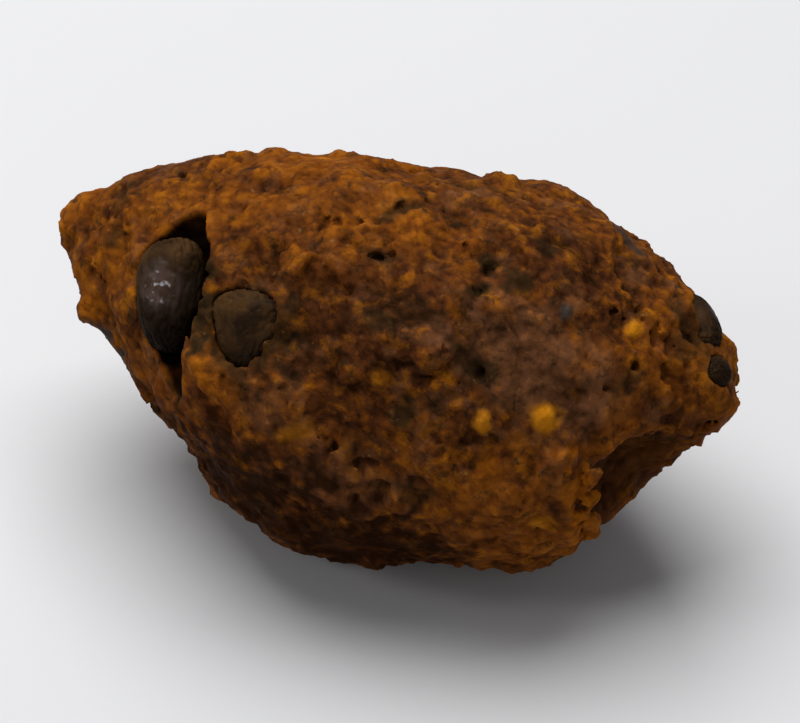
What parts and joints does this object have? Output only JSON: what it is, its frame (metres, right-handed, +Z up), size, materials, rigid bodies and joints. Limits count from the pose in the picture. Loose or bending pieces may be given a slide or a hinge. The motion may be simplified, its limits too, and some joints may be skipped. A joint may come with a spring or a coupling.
{
  "type": "falafel",
  "caption": "Deep-fried falafel of blunt lemon shape, with a craggy brown crust, a ragged low crag at the front, and dark beans showing.",
  "frame": {"origin": "under the middle of its box, on the surface that it rests on", "axes": "+X along the falafel from its left tip to its right, -Y towards the front, +Z up"},
  "size_m": [0.0594, 0.0336, 0.033],
  "materials": {
    "crust": "rough, oily in places",
    "bean": "glossy, wrinkled skin"
  },
  "bodies": {
    "root": {"falafel": "crust", "bean_whole": "bean", "bean_split": "bean", "bean_end": "bean", "bean_tip": "bean"}
  },
  "joints": []
}
